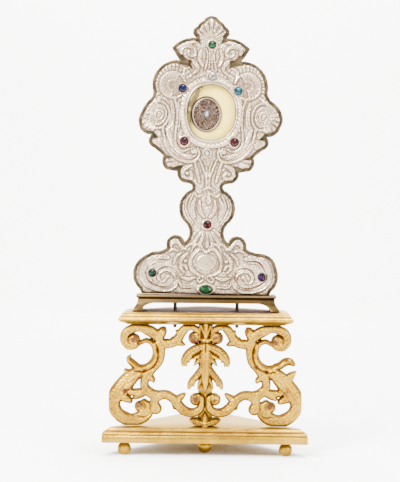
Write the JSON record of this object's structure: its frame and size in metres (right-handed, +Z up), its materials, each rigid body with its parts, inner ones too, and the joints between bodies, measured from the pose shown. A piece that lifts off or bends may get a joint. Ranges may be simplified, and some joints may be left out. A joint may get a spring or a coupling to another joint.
{
  "type": "standing reliquary",
  "caption": "Standing altar reliquary: stone-set silver relief plaque with an oval window for a relic case, on a brass foot and a carved gilded stand with ball feet.",
  "frame": {"origin": "on the table under the middle of the whole object", "axes": "+Z up, front towards -Y, +X to the viewer's right"},
  "size_m": [0.233, 0.2, 0.5031],
  "materials": {
    "gilded_wood": "water gilding over red-brown bole, worn, satin",
    "brass": "cast and filed, aged, satin",
    "brass_sheathing": "aged brass sheet over a wooden board, satin",
    "silver_relief": "repousse silver sheet, polished highs and tarnished hollows",
    "gilt_collet": "rose gilt, polished",
    "dark_iron": "oiled black",
    "ivory_silk": "silk over card, matt with a faint sheen",
    "case_metal": "silvered brass, rubbed",
    "red_ground": "red-brown silk ground with paper ornament, matt",
    "case_glass": "clear, domed",
    "clear_stone": "cut glass on foil",
    "green_stone": "cut glass on foil",
    "dark_green_stone": "cut glass on foil",
    "blue_stone": "cut glass on foil",
    "turquoise_stone": "cut glass on foil",
    "dark_ruby_stone": "cut glass on foil",
    "ruby_stone": "cut glass on foil",
    "purple_stone": "cut glass on foil"
  },
  "bodies": {
    "root": {"bottom_board": "gilded_wood", "top_board": "gilded_wood", "ball_foot_left": "gilded_wood", "ball_foot_right": "gilded_wood", "ball_foot_middle": "gilded_wood", "ball_foot_back": "gilded_wood", "carved_scroll_panel_left": "gilded_wood", "carved_scroll_panel_right": "gilded_wood", "carved_leaf_pillar": "gilded_wood", "rear_scroll_bracket": "gilded_wood", "brass_foot": "brass", "fixing_pin_left": "dark_iron", "fixing_pin_right": "dark_iron", "backing_board": "brass_sheathing", "silver_front": "silver_relief", "window_lining": "ivory_silk", "relic_case": "case_metal", "relic_ground": "red_ground", "relic_case_glass": "case_glass", "collet_green_top": "silver_relief", "collet_clear_upper": "silver_relief", "collet_blue_left": "silver_relief", "collet_turquoise_right": "silver_relief", "collet_dark_ruby_left": "gilt_collet", "collet_ruby_right": "silver_relief", "collet_clear_middle": "silver_relief", "collet_ruby_low": "silver_relief", "collet_green_left": "silver_relief", "collet_purple_right": "silver_relief", "collet_green_oval_bottom": "silver_relief", "stone_green_top": "green_stone", "stone_clear_upper": "clear_stone", "stone_blue_left": "blue_stone", "stone_turquoise_right": "turquoise_stone", "stone_dark_ruby_left": "dark_ruby_stone", "stone_ruby_right": "ruby_stone", "stone_clear_middle": "clear_stone", "stone_ruby_low": "ruby_stone", "stone_green_left": "dark_green_stone", "stone_purple_right": "purple_stone", "stone_green_oval_bottom": "green_stone"}
  },
  "joints": []
}
